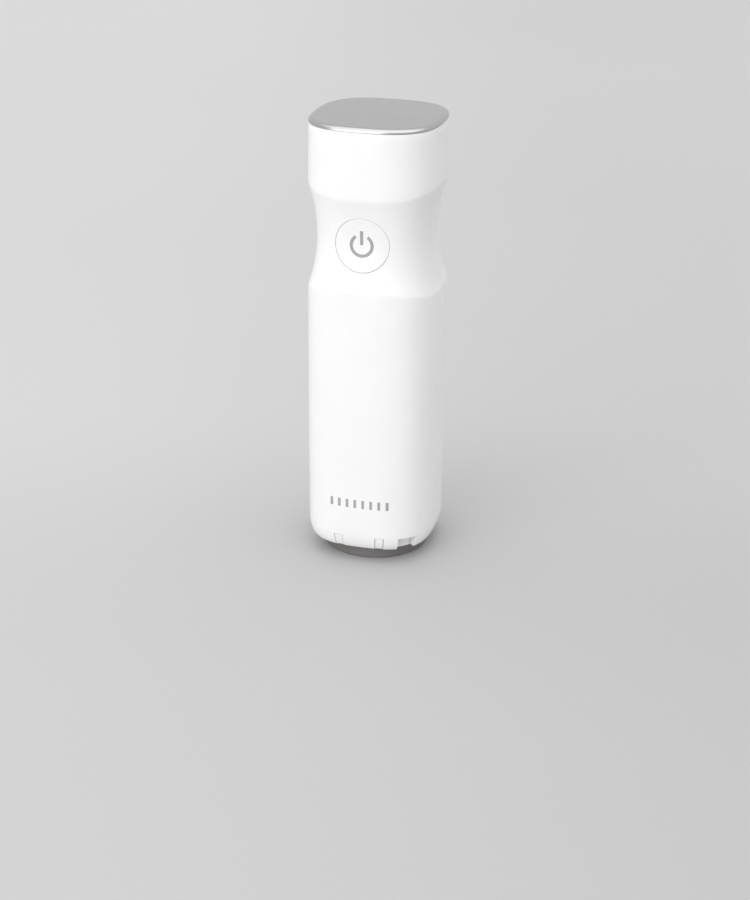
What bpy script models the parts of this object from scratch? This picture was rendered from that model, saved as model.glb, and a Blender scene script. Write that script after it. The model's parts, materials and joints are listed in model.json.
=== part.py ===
"""Cordless hand-held vacuum-sealing pump, modelled as its separate pieces.

Frame: +Z up, origin at the centre of the suction seal's underside, push button on the -Y side.
Sizes are in millimetres and turn into metres where a mesh is made.
"""
import math

import bmesh
import bpy
from mathutils import Matrix, Vector

MM = 0.001
GAP = 0.3                    # clearance kept between neighbouring pieces

# Outside of the body: a barrel with a rounded-square plan, cut by a concave waist
HEIGHT = 184.7
HALF_WIDTH = 27.0            # X and Y, at the widest height
PLAN_POWER = 2.83            # of the superellipse that is the plan
WIDEST_Z = 70.0
BARREL_DROP = 0.5            # how much the half-width loses from WIDEST_Z to the top
WAIST_Z = 137.6
WAIST_HALF_WIDTH = 23.2      # X, at the waist's narrowest
WAIST_HALF_DEPTH = 24.3      # Y, at the waist's narrowest
WAIST_ARC = 67.9             # radius of the concave profile
WAIST_SOFTNESS = 0.2         # rounds the waist's two edges
WALL = 2.0
FOOT_TOP = 13.7              # the side starts to curve in below this height
FOOT_BOTTOM = 5.9
FOOT_HALF_WIDTH = 24.8
FOOT_TURN = 0.97             # share of a quarter ellipse that the curve takes
BODY_POINTS = 40

# Top plate
PLATE_BOTTOM = 183.2
PLATE_EDGE = 1.4             # height of the rounding of its upper edge
PLATE_REACH = 2.4            # and its width
CARRIER_BOTTOM = 172.0

# Push button in the waist
BUTTON_Z = WAIST_Z
BUTTON_HOLE = 11.2
BUTTON_RADIUS = 10.9
BUTTON_TRAVEL = 0.7
FLANGE_RADIUS = 12.6
FLANGE_FRONT = 15.0          # distance of the flange's front from the X-Z plane
GUIDE_FRONT = 19.6           # and of the guide's front
BOARD_FRONT = -4.5           # Y of the control board's front face
SWITCH_HEIGHT = 3.4

# Charging port in the back
PORT_Z = 168.4
PORT_HALF_WIDTH = 4.8
PORT_HALF_HEIGHT = 1.9
LIGHT_X = 7.5
BOARD_BACK = 22.5            # Y of the charging board's rear edge

# Foot: seal, pull-off ring and base plate
SEAL_RADIUS = 22.1
SEAL_TOP = 5.4
NOTCH_TOP = 11.7
WINDOW = (42.5, 17.0)        # centre from the front and width, degrees
TAB_NOTCHES = ((-19.0, 7.6), (18.2, 7.6))
TAB_RECESS = 0.3
MOUTH_RADIUS = 14.6
COLLAR_RADIUS = 16.3
COLLAR_BOTTOM = 6.7
CEILING = 11.7
FLOOR_TOP = 14.0

# Diaphragm pump, stacked on the base plate's four posts
STACK_HALF = 13.5
SCREW_XY = 11.2
HEAD_Z = 24.0
CUP_CIRCLE = 7.2
CUP_RADIUS = 4.2
PIVOT_Z = 42.0
PIN_TILT = math.radians(8)
CASE_BOTTOM = 38.8
CASE_TOP = 57.7
SMALL_HOLE = 1.3

# Motor and what it carries
MOTOR_Z = 58.0
MOTOR_RADIUS = 12.2
MOTOR_LENGTH = 30.8
SHAFT_RADIUS = 1.0
BRACKET_Z = 89.4
CHASSIS_BOTTOM = 92.7
CHASSIS_TOP = 165.0
CHASSIS_BACK = 4.0
RAIL_IN = 9.8
RAIL_OUT = 18.5
RAIL_X = 14.5
CELL_Z = 96.0
CELL_LENGTH = 65.0
CELL_RADIUS = 9.2
CELL_Y = 6.7

COLOURS = {                  # colour, roughness, metallic
    "white_gloss": ((0.86, 0.86, 0.86), 0.18, 0.0),
    "silver": ((0.56, 0.56, 0.57), 0.30, 0.9),
    "seal_rubber": ((0.10, 0.10, 0.105), 0.60, 0.0),
    "grey_plastic": ((0.42, 0.43, 0.45), 0.45, 0.0),
    "black_plastic": ((0.03, 0.03, 0.035), 0.50, 0.0),
    "clear_plastic": ((0.90, 0.93, 0.95), 0.10, 0.0),
    "soft_silicone": ((0.75, 0.76, 0.74), 0.55, 0.0),
    "filter_mesh": ((0.25, 0.26, 0.28), 0.90, 0.0),
    "steel": ((0.62, 0.62, 0.63), 0.28, 1.0),
    "copper": ((0.72, 0.36, 0.18), 0.35, 1.0),
    "magnet": ((0.07, 0.07, 0.08), 0.55, 0.2),
    "board_green": ((0.02, 0.16, 0.08), 0.45, 0.0),
    "cell_wrap": ((0.05, 0.22, 0.55), 0.35, 0.0),
    "lead_red": ((0.60, 0.03, 0.03), 0.45, 0.0),
    "lead_black": ((0.02, 0.02, 0.02), 0.45, 0.0),
}


def material(name):
    """The Principled material called name, made the first time it is asked for."""
    found = bpy.data.materials.get(name)
    if found:
        return found
    colour, roughness, metallic = COLOURS[name]
    made = bpy.data.materials.new(name)
    made.use_nodes = True
    shader = made.node_tree.nodes["Principled BSDF"]
    shader.inputs["Base Color"].default_value = (*colour, 1.0)
    shader.inputs["Roughness"].default_value = roughness
    shader.inputs["Metallic"].default_value = metallic
    made.diffuse_color = (*colour, 1.0)
    return made


# ---------------------------------------------------------------- outline of the body

def barrel(z):
    """Half-width of the barrel at height z, without the waist."""
    return HALF_WIDTH - BARREL_DROP * ((z - WIDEST_Z) / (HEIGHT - WIDEST_Z)) ** 2


def waist_flare(z):
    """How far the waist's surface has swept out at height z from its narrowest."""
    reach = min(abs(z - WAIST_Z), 0.99 * WAIST_ARC)
    return WAIST_ARC - math.sqrt(WAIST_ARC ** 2 - reach ** 2)


def oval(across, along):
    """A superellipse of the given half-axes, as a radius over the angle."""
    def radius(angle):
        c, s = abs(math.cos(angle)) / across, abs(math.sin(angle)) / along
        return (c ** PLAN_POWER + s ** PLAN_POWER) ** (-1 / PLAN_POWER)
    return radius


def body(z, inset=0.0):
    """The body's plan at height z, moved in by inset: whichever of barrel and waist lies inside."""
    side, flare = barrel(z) - inset, waist_flare(z) - inset
    outer, inner = oval(side, side), oval(WAIST_HALF_WIDTH + flare, WAIST_HALF_DEPTH + flare)

    def radius(angle):
        cut = outer(angle) - inner(angle)
        return outer(angle) - 0.5 * (cut + math.hypot(cut, WAIST_SOFTNESS))
    return radius


def side_y(x, z):
    """Distance from the X axis to the body's front or back surface, over x and z."""
    def reach(across, along):
        return along * (1 - (abs(x) / across) ** PLAN_POWER) ** (1 / PLAN_POWER)
    flare = waist_flare(z)
    return min(reach(barrel(z), barrel(z)), reach(WAIST_HALF_WIDTH + flare, WAIST_HALF_DEPTH + flare))


def foot(inset=0.0):
    """The plan of the body's lower edge, moved in by inset."""
    return oval(FOOT_HALF_WIDTH - inset, FOOT_HALF_WIDTH - inset)


def rounding(z):
    """The plan between the body and its lower edge, where the side curves in."""
    drop = FOOT_TURN * (FOOT_TOP - z) / (FOOT_TOP - FOOT_BOTTOM)
    share = (1 - math.sqrt(1 - drop ** 2)) / (1 - math.sqrt(1 - FOOT_TURN ** 2))
    above, below = body(FOOT_TOP), foot()
    return lambda angle: (1 - share) * above(angle) + share * below(angle)


# ---------------------------------------------------------------- making pieces

def circle(points):
    """Angles of a full turn in equal steps."""
    return [math.tau * i / points for i in range(points)]


def value(number_or_function, angle):
    return number_or_function(angle) if callable(number_or_function) else number_or_function


def piece(name, mesh, colour, place=Matrix()):
    """Link a mesh as the named piece, smooth where it is round."""
    mesh.shade_smooth()
    mesh.set_sharp_from_angle(angle=math.radians(32))
    made = bpy.data.objects.new(name, mesh)
    made.matrix_world = place
    made.data.materials.append(material(colour))
    bpy.context.scene.collection.objects.link(made)
    return made


def finished(name, bm):
    """Turn a bmesh in millimetres into a mesh in metres with its faces pointing out."""
    bmesh.ops.recalc_face_normals(bm, faces=bm.faces)
    bmesh.ops.scale(bm, vec=(MM, MM, MM), verts=bm.verts)
    mesh = bpy.data.meshes.new(name)
    bm.to_mesh(mesh)
    bm.free()
    return mesh


def loft(name, rings, colour, points=24, angles=None, closed=False, place=Matrix()):
    """Skin a run of rings, each (radius, height), where either may be a function of the angle.

    A closed run joins its last ring to its first, as in a tube; an open run is capped at both ends.
    """
    angles = angles or circle(points)
    bm = bmesh.new()
    loops = []
    for radius, height in rings:
        loop = []
        for angle in angles:
            r = value(radius, angle)
            loop.append(bm.verts.new((r * math.cos(angle), r * math.sin(angle), value(height, angle))))
        loops.append(loop)
    pairs = list(zip(loops, loops[1:]))
    if closed:
        pairs.append((loops[-1], loops[0]))
    else:
        bm.faces.new(loops[0])
        bm.faces.new(loops[-1])
    for low, high in pairs:
        for i in range(len(angles)):
            j = (i + 1) % len(angles)
            bm.faces.new((low[i], low[j], high[j], high[i]))
    return piece(name, finished(name, bm), colour, place)


def tube(name, inner, outer, low, high, colour, points=24, place=Matrix()):
    rings = [(outer, low), (outer, high), (inner, high), (inner, low)]
    return loft(name, rings, colour, points, closed=True, place=place)


def rod(name, radius, low, high, colour, points=16, place=Matrix()):
    return loft(name, [(radius, low), (radius, high)], colour, points, place=place)


def screw(name, shank, place):
    """A pan-head screw with its seat at the origin and its shank running down."""
    head_radius, head_height, shank_radius = 1.8, 1.3, 0.95
    rings = [(shank_radius, -shank), (shank_radius, 0), (head_radius, 0),
             (head_radius, 0.6 * head_height), (0.7 * head_radius, head_height)]
    return loft(name, rings, "steel", 10, place=place)


def block(name, low, high, colour):
    """A box between two corners."""
    bm = bmesh.new()
    size = Vector(high) - Vector(low)
    centre = (Vector(high) + Vector(low)) / 2
    bmesh.ops.create_cube(bm, size=1, matrix=Matrix.LocRotScale(centre, None, size))
    return piece(name, finished(name, bm), colour)


def raise_face(bm, face, height):
    """Extrude a flat face upwards into a prism."""
    raised = bmesh.ops.extrude_face_region(bm, geom=[face])["geom"]
    verts = [item for item in raised if isinstance(item, bmesh.types.BMVert)]
    bmesh.ops.translate(bm, vec=(0, 0, height), verts=verts)


def round_box(name, half, corner, low, high, colour):
    """A square plate standing on the Z axis, with rounded corners."""
    outline = []
    for quarter in range(4):
        for step in range(4):
            angle = math.tau * (quarter + step / 3) / 4
            turn = math.tau * (quarter + 0.5) / 4
            middle = Vector((math.cos(turn), math.sin(turn))) * (half - corner) * math.sqrt(2)
            outline.append(middle + corner * Vector((math.cos(angle), math.sin(angle))))
    bm = bmesh.new()
    face = bm.faces.new([bm.verts.new((*point, low)) for point in outline])
    raise_face(bm, face, high - low)
    return piece(name, finished(name, bm), colour)


def combine(target, operation, tools):
    """Join the tools to the target, or cut them out of it, and keep them as hidden guides."""
    for tool in tools:
        tool.hide_render = True
        tool.display_type = "WIRE"
        modifier = target.modifiers.new(tool.name, "BOOLEAN")
        modifier.operation = operation
        modifier.object = tool
    return target


def cut(target, *tools):
    return combine(target, "DIFFERENCE", tools)


def join(target, *tools):
    return combine(target, "UNION", tools)


def at(x=0.0, y=0.0, z=0.0):
    return Matrix.Translation(Vector((x, y, z)) * MM)


def facing_front(x=0.0, z=0.0, y=0.0):
    """Turns a piece's own +Z to -Y, about a point that is on the X-Z plane unless y is given."""
    return at(x, y, z) @ Matrix.Rotation(math.pi / 2, 4, "X")


def facing_back(x=0.0, z=0.0):
    """Turns a piece's own +Z to +Y, about a point on the X-Z plane."""
    return at(x, 0, z) @ Matrix.Rotation(-math.pi / 2, 4, "X")


def corners(distance):
    """The four corners of a square round the Z axis."""
    return [(distance * sx, distance * sy) for sx, sy in ((1, 1), (-1, 1), (-1, -1), (1, -1))]


def thirds(radius):
    """Three points round the Z axis, a third of a turn apart."""
    return [(radius * math.cos(a), radius * math.sin(a)) for a in circle(3)]


def drill(target, places, radius, low, high, points=10):
    """Round holes along Z through the target, at each (x, y), turned off the target's own edges."""
    turn = Matrix.Rotation(math.radians(7), 4, "Z")
    tools = [rod(f"{target.name}_drill_{i}", radius, low, high, "steel", points, at(x, y) @ turn)
             for i, (x, y) in enumerate(places)]
    return cut(target, *tools)


# ---------------------------------------------------------------- outside

def housing():
    """One-piece sleeve: button hole in front, charging port behind, notches in the lower edge."""
    top = PLATE_BOTTOM - GAP
    steps = (5.5, 11, 16, 18.6, 20.4, 22.3)
    rise = [42, WIDEST_Z, 95, 109] + [WAIST_Z - step for step in reversed(steps)]
    rise += [WAIST_Z] + [WAIST_Z + step for step in steps] + [165, 174, top]
    fall = [top, 174, 162] + [WAIST_Z + step for step in (18.5, 9, 0, -9, -18.5)]
    fall += [110, 90, WIDEST_Z, 40, 16]
    outside = [(rounding(z), z) for z in (FOOT_BOTTOM, 6.2, 6.9, 8.6, 11.0, FOOT_TOP)]
    outside += [(body(z), z) for z in rise]
    inside = [(body(z, WALL), z) for z in fall]
    inside += [(foot(WALL), FOOT_TOP), (foot(WALL), FOOT_BOTTOM)]
    sleeve = loft("housing", outside + inside, "white_gloss", BODY_POINTS, closed=True)
    hole = rod("button_hole", BUTTON_HOLE, 12, 30, "steel", 36, facing_front(z=BUTTON_Z))
    port = block("port_hole", (-PORT_HALF_WIDTH, 15, PORT_Z - PORT_HALF_HEIGHT),
                 (PORT_HALF_WIDTH, 30, PORT_Z + PORT_HALF_HEIGHT), "steel")
    light = rod("light_hole", 1.05, 15, 30, "steel", 12, facing_back(LIGHT_X, PORT_Z))
    cut(sleeve, hole, port, light, *notch_cutters())


def around(angles):
    """Each (centre, width) of a notch as seen from the front, and again half a turn round."""
    return [(math.radians(centre + turn - 90), math.radians(width))
            for turn in (0, 180) for centre, width in angles]


def notch_cutters():
    """Wedges that cut the notches up into the sleeve's lower edge."""
    inner, outer = 15.0, 32.0
    tools = []
    for i, (centre, width) in enumerate(around(TAB_NOTCHES + (WINDOW,))):
        spread = math.tan(width / 2)
        bm = bmesh.new()
        outline = [(inner, -inner * spread), (outer, -outer * spread), (outer, outer * spread),
                   (inner, inner * spread)]
        face = bm.faces.new([bm.verts.new((x, y, FOOT_BOTTOM - 5)) for x, y in outline])
        raise_face(bm, face, NOTCH_TOP - FOOT_BOTTOM + 5)
        name = f"notch_{i}"
        tools.append(piece(name, finished(name, bm), "steel", Matrix.Rotation(centre, 4, "Z")))
    return tools


def top_cap():
    """Silver plate over the whole top, its upper edge rounded."""
    rings = [(body(PLATE_BOTTOM), PLATE_BOTTOM)]
    for step in range(5):
        turn = math.radians(90) * step / 4
        inset = PLATE_REACH * (1 - math.cos(turn))
        rings.append((body(HEIGHT, inset), HEIGHT - PLATE_EDGE * (1 - math.sin(turn))))
    loft("top_cap", rings, "silver", BODY_POINTS)


def cap_carrier():
    """Inverted cup that plugs the sleeve and carries the plate."""
    top, skirt, floor = PLATE_BOTTOM - GAP, 1.6, 2.5
    fit = WALL + GAP
    plug = loft("cap_carrier", [(body(CARRIER_BOTTOM, fit), CARRIER_BOTTOM), (body(top, fit), top)],
                "grey_plastic", 32)
    hollow = [(body(CARRIER_BOTTOM, fit + skirt), CARRIER_BOTTOM - 5),
              (body(top - floor, fit + skirt), top - floor)]
    cut(plug, loft("carrier_hollow", hollow, "grey_plastic", 32))


def button():
    """Round key whose face carries on the waist's surface; a flange behind the guide keeps it in."""
    def face(radius):
        return lambda angle: side_y(radius * math.cos(angle), BUTTON_Z + radius * math.sin(angle))
    flange_back = FLANGE_FRONT - 1
    boss, boss_end, skirt, skin = 2.5, 9.7, 9.3, 20.5
    rings = [(radius, face(radius)) for radius in (1.5, 4.0, 6.5, 9.0, BUTTON_RADIUS)]
    rings += [(BUTTON_RADIUS, FLANGE_FRONT), (FLANGE_RADIUS, FLANGE_FRONT), (FLANGE_RADIUS, flange_back),
              (skirt, flange_back), (skirt, skin), (boss, skin), (boss, boss_end)]
    loft("button", rings, "white_gloss", 40, place=facing_front(z=BUTTON_Z))


def button_guide():
    """Grey sleeve behind the hole that the key slides in."""
    tube("button_guide", BUTTON_HOLE, 13.0, FLANGE_FRONT + GAP, GUIDE_FRONT, "grey_plastic", 32,
         facing_front(z=BUTTON_Z))


# ---------------------------------------------------------------- foot

def seal():
    """Rubber suction ring with a flat sole and a neck that plugs into the foot ring."""
    sole, neck, mouth = 17.5, 17.2, 15.0
    rings = [(sole, 0), (SEAL_RADIUS - 0.3, 0), (SEAL_RADIUS, 0.4), (SEAL_RADIUS - 0.2, SEAL_TOP - 0.5),
             (SEAL_RADIUS - 0.7, SEAL_TOP), (neck, SEAL_TOP), (neck, COLLAR_BOTTOM - GAP),
             (mouth, COLLAR_BOTTOM - GAP), (mouth, 3.0)]
    loft("seal", rings, "seal_rubber", BODY_POINTS, closed=True)


def base_ring():
    """Ring that holds the seal; its tabs lie in the sleeve's narrow notches, for the fingertips."""
    bore, hub, top, tab_low = 17.5, 19.2, CEILING - GAP, FOOT_BOTTOM + 0.5
    flank, side = math.radians(0.4), math.radians(0.8)
    spans = [(centre - width / 2 + side, centre + width / 2 - side) for centre, width in around(TAB_NOTCHES)]

    def in_tab(angle):
        return any(0.5 * flank < (angle - low) % math.tau < high - low - 0.5 * flank for low, high in spans)

    def outline(z):
        outer, inner = rounding(z), foot(WALL + GAP)
        return lambda angle: outer(angle) - TAB_RECESS if in_tab(angle) else inner(angle)

    def far_from_tabs(angle):
        return all((angle - low + 0.06) % math.tau > high - low + 0.12 for low, high in spans)
    angles = [a for a in circle(36) if far_from_tabs(a)]
    for low, high in spans:
        angles += [low % math.tau, (low + flank) % math.tau, (high - flank) % math.tau, high % math.tau]
    rings = [(foot(WALL + GAP), FOOT_BOTTOM), (foot(WALL + GAP), tab_low)]
    rings += [(outline(z), z) for z in (tab_low + 0.01, 7.6, 9.4, top)]
    rings += [(hub, top + 0.01), (bore, top), (bore, FOOT_BOTTOM)]
    loft("base_ring", rings, "white_gloss", angles=sorted(angles), closed=True)


def base_plate():
    """Floor of the housing: suction collar, filter rim, inlet nozzle and four posts."""
    bore, nozzle, nozzle_top, rim_in, rim_out, rim_low = 1.6, 3.0, 19.0, 8.3, 9.3, CEILING - 1.2
    edge = foot(WALL + GAP)
    rings = [(bore, CEILING), (rim_in, CEILING), (rim_in, rim_low), (rim_out, rim_low), (rim_out, CEILING),
             (MOUTH_RADIUS, CEILING), (MOUTH_RADIUS, COLLAR_BOTTOM), (COLLAR_RADIUS, COLLAR_BOTTOM),
             (COLLAR_RADIUS, CEILING), (edge, CEILING), (edge, FLOOR_TOP),
             (nozzle, FLOOR_TOP), (nozzle, nozzle_top), (bore, nozzle_top)]
    plate = loft("base_plate", rings, "grey_plastic", 32, closed=True)
    posts = [rod(f"post_{i}", 2.6, FLOOR_TOP - 1, HEAD_Z - GAP, "grey_plastic", 12, at(x, y))
             for i, (x, y) in enumerate(corners(SCREW_XY))]
    join(plate, *posts)
    drill(plate, corners(SCREW_XY), SMALL_HOLE, FLOOR_TOP + 1, HEAD_Z + 5, 8)


def inlet_filter():
    """Fine mesh disc inside the base plate's rim."""
    rod("inlet_filter", 8.0, CEILING - 1.5, CEILING - GAP, "filter_mesh", 24)


def suction_tube():
    """Short silicone hose between the base plate's nozzle and the pump's inlet."""
    tube("suction_tube", 3.3, 4.6, FLOOR_TOP + GAP, HEAD_Z - GAP, "soft_silicone", 16)


# ---------------------------------------------------------------- diaphragm pump

HEAD_TOP = HEAD_Z + 4.0
GASKET = (HEAD_TOP + GAP, HEAD_TOP + GAP + 0.6)
VALVE_PLATE = (GASKET[1] + GAP, GASKET[1] + GAP + 2.0)
DIAPHRAGM = (VALVE_PLATE[1] + GAP, VALVE_PLATE[1] + GAP + 1.2)
CYLINDERS = (DIAPHRAGM[1] + GAP, CASE_BOTTOM - GAP)


def pump_head():
    """Cover with the inlet spigot below and a shallow chamber for the valve above."""
    head = round_box("pump_head", STACK_HALF, 3.5, HEAD_Z, HEAD_TOP, "black_plastic")
    spigot = rod("inlet_spigot", 3.0, HEAD_Z - 4.2, HEAD_Z + 1, "black_plastic", 16)
    chamber = rod("valve_chamber", 8.5, HEAD_TOP - 2.2, HEAD_TOP + 3, "black_plastic", 20)
    inlet = rod("inlet_bore", 1.6, HEAD_Z - 8, HEAD_TOP, "black_plastic", 12)
    cut(join(head, spigot), chamber, inlet)
    drill(head, corners(SCREW_XY), SMALL_HOLE, HEAD_Z - 3, HEAD_TOP + 3)


def head_gasket():
    gasket = round_box("head_gasket", STACK_HALF, 3.5, *GASKET, "seal_rubber")
    cut(gasket, rod("gasket_window", 9.2, GASKET[0] - 3, GASKET[1] + 3, "seal_rubber", 20))
    drill(gasket, corners(SCREW_XY), SMALL_HOLE, GASKET[0] - 3, GASKET[1] + 3)


def valve_plate():
    plate = round_box("valve_plate", STACK_HALF, 3.5, *VALVE_PLATE, "grey_plastic")
    drill(plate, [(0, 0)] + thirds(CUP_CIRCLE) + corners(SCREW_XY), SMALL_HOLE,
          VALVE_PLATE[0] - 3, VALVE_PLATE[1] + 3)


def umbrella_valve():
    """Rubber check valve: a shallow cap under the plate and a stem up its middle hole."""
    cap_top = VALVE_PLATE[0] - GAP
    rings = [(3.0, cap_top - 0.8), (4.2, cap_top - 0.3), (4.2, cap_top), (0.9, cap_top),
             (0.9, VALVE_PLATE[1] - 0.2)]
    loft("umbrella_valve", rings, "soft_silicone", 16)


def diaphragm():
    """One rubber moulding: a flange with three hollow cups and the nipples that the yoke pulls."""
    sheet = round_box("diaphragm", STACK_HALF, 3.5, *DIAPHRAGM, "seal_rubber")
    cup_top, nipple_top = 37.5, 39.3
    cups = [loft(f"cup_{i}", [(CUP_RADIUS, DIAPHRAGM[0] + 0.5), (CUP_RADIUS, cup_top - 1), (2.4, cup_top),
                              (1.0, cup_top), (1.0, nipple_top)], "seal_rubber", 14, place=at(x, y))
            for i, (x, y) in enumerate(thirds(CUP_CIRCLE))]
    join(sheet, *cups)
    drill(sheet, thirds(CUP_CIRCLE), CUP_RADIUS - 0.9, DIAPHRAGM[0] - 3, cup_top - 1.6, 12)
    drill(sheet, corners(SCREW_XY), SMALL_HOLE, DIAPHRAGM[0] - 4, DIAPHRAGM[1] + 4)


def cylinder_block():
    """Carrier with a bore round each cup."""
    carrier = round_box("cylinder_block", STACK_HALF, 3.5, *CYLINDERS, "black_plastic")
    for index, (places, radius) in enumerate(((thirds(CUP_CIRCLE), 4.8), (corners(SCREW_XY), SMALL_HOLE))):
        low, high = CYLINDERS[0] - 3, CYLINDERS[1] + 3
        tools = [rod(f"cylinder_{index}_{i}", radius, low, high, "steel", 14, at(x, y))
                 for i, (x, y) in enumerate(places)]
        cut(carrier, *tools)


def pump_case():
    """Drum round the yoke, with a square flange below and the motor's seat above."""
    case = round_box("pump_case", STACK_HALF, 3.5, CASE_BOTTOM, CASE_BOTTOM + 2, "black_plastic")
    drum = rod("case_drum", 13.3, CASE_BOTTOM + 1, CASE_TOP, "black_plastic", 28)
    room = rod("case_room", 12.0, CASE_BOTTOM - 3, CASE_TOP - 1.5, "black_plastic", 28)
    neck = rod("case_neck", 3.6, CASE_TOP - 5, CASE_TOP + 3, "black_plastic", 16)
    cut(join(case, drum), room, neck)
    drill(case, corners(SCREW_XY), SMALL_HOLE, CASE_BOTTOM - 3, CASE_BOTTOM + 5)
    drill(case, [(8, 0), (-8, 0)], SMALL_HOLE, CASE_TOP - 4, CASE_TOP + 4)


def stack_screws():
    """Four long screws from the case's flange down into the base plate's posts."""
    seat = CASE_BOTTOM + 2 + GAP
    for i, (x, y) in enumerate(corners(SCREW_XY), 1):
        screw(f"stack_screw_{i}", seat - 16, at(x, y, seat))


def tilted():
    """The drive pin's frame: its foot at the yoke's pivot, leaning towards +X."""
    return at(z=PIVOT_Z) @ Matrix.Rotation(PIN_TILT, 4, "Y")


def wobble_yoke():
    """Three-armed spider on the leaning pin; each arm works one cup."""
    thick, hub, hub_top, bore = 0.8, 3.0, 4.0, 1.0
    yoke = rod("wobble_yoke", hub, -thick, hub_top, "grey_plastic", 18, tilted())
    arms = []
    for i, angle in enumerate(circle(3)):
        turn = tilted() @ Matrix.Rotation(angle, 4, "Z")
        arm = block(f"arm_{i}", (0.5, -1.6, -thick), (CUP_CIRCLE, 1.6, thick), "grey_plastic")
        arm.matrix_world = turn
        arms += [arm, rod(f"arm_end_{i}", 1.7, -thick, thick, "grey_plastic", 12,
                          turn @ at(CUP_CIRCLE))]
    join(yoke, *arms)
    cut(yoke, rod("yoke_bore", bore, -5, hub_top + 5, "steel", 12, tilted()))


def drive_pin():
    rod("drive_pin", 0.93, -0.6, 9.0, "steel", 12, tilted())


def eccentric():
    """Drum on the motor shaft with the slanting hole for the drive pin."""
    low, step, top = 46.8, 52.0, 55.8
    drum = loft("eccentric", [(5.2, low), (5.2, step), (3.0, step), (3.0, top)], "grey_plastic", 24)
    pin_hole = rod("pin_hole", 0.99, -3, 9.3, "steel", 12, tilted())
    shaft_hole = rod("shaft_hole", SHAFT_RADIUS + 0.06, step + 0.3, top + 4, "steel", 12)
    cut(drum, pin_hole, shaft_hole)


# ---------------------------------------------------------------- motor

def motor_can():
    """Steel cup, open above, with the shaft's hole and two threaded holes in its face."""
    skin = 0.8
    top = MOTOR_Z + MOTOR_LENGTH
    rings = [(SHAFT_RADIUS + GAP, MOTOR_Z), (MOTOR_RADIUS, MOTOR_Z), (MOTOR_RADIUS, top),
             (MOTOR_RADIUS - skin, top), (MOTOR_RADIUS - skin, MOTOR_Z + skin),
             (SHAFT_RADIUS + GAP, MOTOR_Z + skin)]
    can = loft("motor_can", rings, "steel", 28, closed=True)
    drill(can, [(8, 0), (-8, 0)], SMALL_HOLE, MOTOR_Z - 3, MOTOR_Z + 3)


def magnets():
    """Two arc magnets inside the can."""
    inner, outer, low, high, half_span = 9.5, 11.1, MOTOR_Z + 4, MOTOR_Z + 24, math.radians(65)
    for name, middle in (("magnet_left", math.pi), ("magnet_right", 0.0)):
        bm = bmesh.new()
        steps = [middle + half_span * (2 * i / 8 - 1) for i in range(9)]
        outline = [(outer * math.cos(a), outer * math.sin(a), low) for a in steps]
        outline += [(inner * math.cos(a), inner * math.sin(a), low) for a in reversed(steps)]
        face = bm.faces.new([bm.verts.new(point) for point in outline])
        raise_face(bm, face, high - low)
        piece(name, finished(name, bm), "magnet")


def armature():
    """Three-pole wound core on the shaft."""
    def poles(angle):
        third = math.tau / 3
        off = abs((angle + third / 2) % third - third / 2)
        return 8.9 if off < math.radians(48) else 6.0
    bore, low, high = SHAFT_RADIUS + 0.06, MOTOR_Z + 5, MOTOR_Z + 22
    loft("armature", [(poles, low), (poles, high), (bore, high), (bore, low)], "copper", 30, closed=True)
    tube("commutator", bore, 2.6, high + 0.5, high + 4.5, "copper", 16)


def motor_shaft():
    rod("motor_shaft", SHAFT_RADIUS, 52.6, MOTOR_Z + MOTOR_LENGTH - 0.6, "steel", 12)


def motor_endcap():
    """Plastic lid of the motor with the rear bearing hole."""
    top = MOTOR_Z + MOTOR_LENGTH
    tube("motor_endcap", SHAFT_RADIUS + GAP, MOTOR_RADIUS - 0.8 - GAP, top - 3, top, "black_plastic", 24)


def motor_screws():
    """Two screws up through the case's seat into the motor's face."""
    for i, x in enumerate((8, -8), 1):
        seat = at(x, 0, CASE_TOP - 1.5 - GAP) @ Matrix.Rotation(math.pi, 4, "X")
        screw(f"motor_screw_{i}", 4.2, seat)


# ---------------------------------------------------------------- electronics and their frame

def motor_bracket():
    """Round plate whose skirt grips the motor's upper end; the chassis stands on it."""
    grip = MOTOR_RADIUS + GAP
    bracket = loft("motor_bracket", [(grip, 82.0), (14.0, 82.0), (14.0, BRACKET_Z), (20.0, BRACKET_Z),
                                     (20.0, CHASSIS_BOTTOM - GAP), (3.0, CHASSIS_BOTTOM - GAP),
                                     (3.0, BRACKET_Z), (grip, BRACKET_Z)],
                   "grey_plastic", 28, closed=True)
    drill(bracket, [(16.2, 0.7), (-16.2, 0.7)], SMALL_HOLE, BRACKET_Z - 3, CHASSIS_BOTTOM + 3)
    drill(bracket, [(4.5, -6.5), (-4.5, -6.5)], 1.5, BRACKET_Z - 3, CHASSIS_BOTTOM + 3)


def chassis():
    """Ladder frame: two rails with a window for the cell."""
    front = BOARD_FRONT + 1.6 + GAP
    frame = block("chassis", (-RAIL_OUT, front, CHASSIS_BOTTOM), (RAIL_OUT, CHASSIS_BACK, CHASSIS_TOP),
                  "grey_plastic")
    bar = 2.2
    window = block("cell_window", (-RAIL_IN, front - 5, CHASSIS_BOTTOM + bar),
                   (RAIL_IN, CHASSIS_BACK + 5, CHASSIS_TOP - bar), "steel")
    cut(frame, window)
    drill(frame, [(16.2, 0.7), (-16.2, 0.7)], SMALL_HOLE, CHASSIS_BOTTOM - 3, CHASSIS_BOTTOM + 6)
    threads = [rod(f"board_thread_{i}", 1.2, -5, 3, "steel", 10, facing_front(x, z, front))
               for i, (x, z) in enumerate(board_screw_places())]
    cut(frame, *threads)


def chassis_screws():
    """Two screws up through the bracket into the rails."""
    for i, x in enumerate((16.2, -16.2), 1):
        seat = at(x, 0.7, BRACKET_Z - GAP) @ Matrix.Rotation(math.pi, 4, "X")
        screw(f"chassis_screw_{i}", 8.0, seat)


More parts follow.
